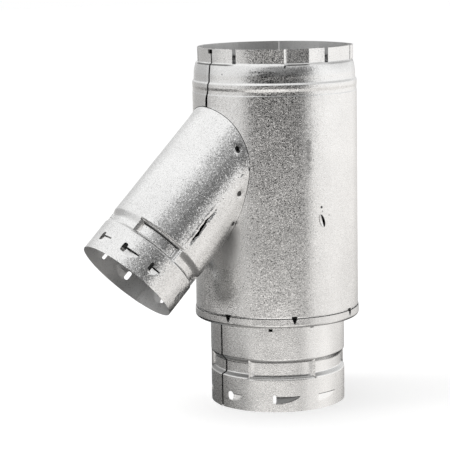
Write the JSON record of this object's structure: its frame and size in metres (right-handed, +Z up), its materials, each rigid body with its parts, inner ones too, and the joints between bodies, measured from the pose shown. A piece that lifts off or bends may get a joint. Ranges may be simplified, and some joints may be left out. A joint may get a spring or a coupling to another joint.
{
  "type": "duct y branch",
  "caption": "Double-wall galvanised gas vent wye: a 5 in main vent that reduces to 4 in at its foot, with a 3 in branch at 45 degrees.",
  "frame": {"origin": "on the main axis, in the plane of the bottom collar's rim, on which the fitting stands", "axes": "+Z up the main axis towards the slotted spigot; the branch lies in the XZ plane and runs out towards -X and down at 45 degrees"},
  "size_m": [0.2481, 0.1414, 0.305],
  "materials": {
    "galvanised_body": "bright galvanised sheet with a fine spangle",
    "galvanised_branch": "bright galvanised sheet with a fine spangle",
    "galvanised_collar": "bright galvanised sheet with a fine spangle",
    "galvanised_cap": "galvanised sheet, rolled edge",
    "liner_aluminium": "mill-finish aluminium sheet"
  },
  "bodies": {
    "root": {"outer_body": "galvanised_body", "branch_outer_tube": "galvanised_branch", "bottom_collar": "galvanised_collar", "bottom_cap_ring": "galvanised_cap", "liner_body": "liner_aluminium", "liner_reducer": "liner_aluminium", "liner_branch": "liner_aluminium"}
  },
  "joints": []
}
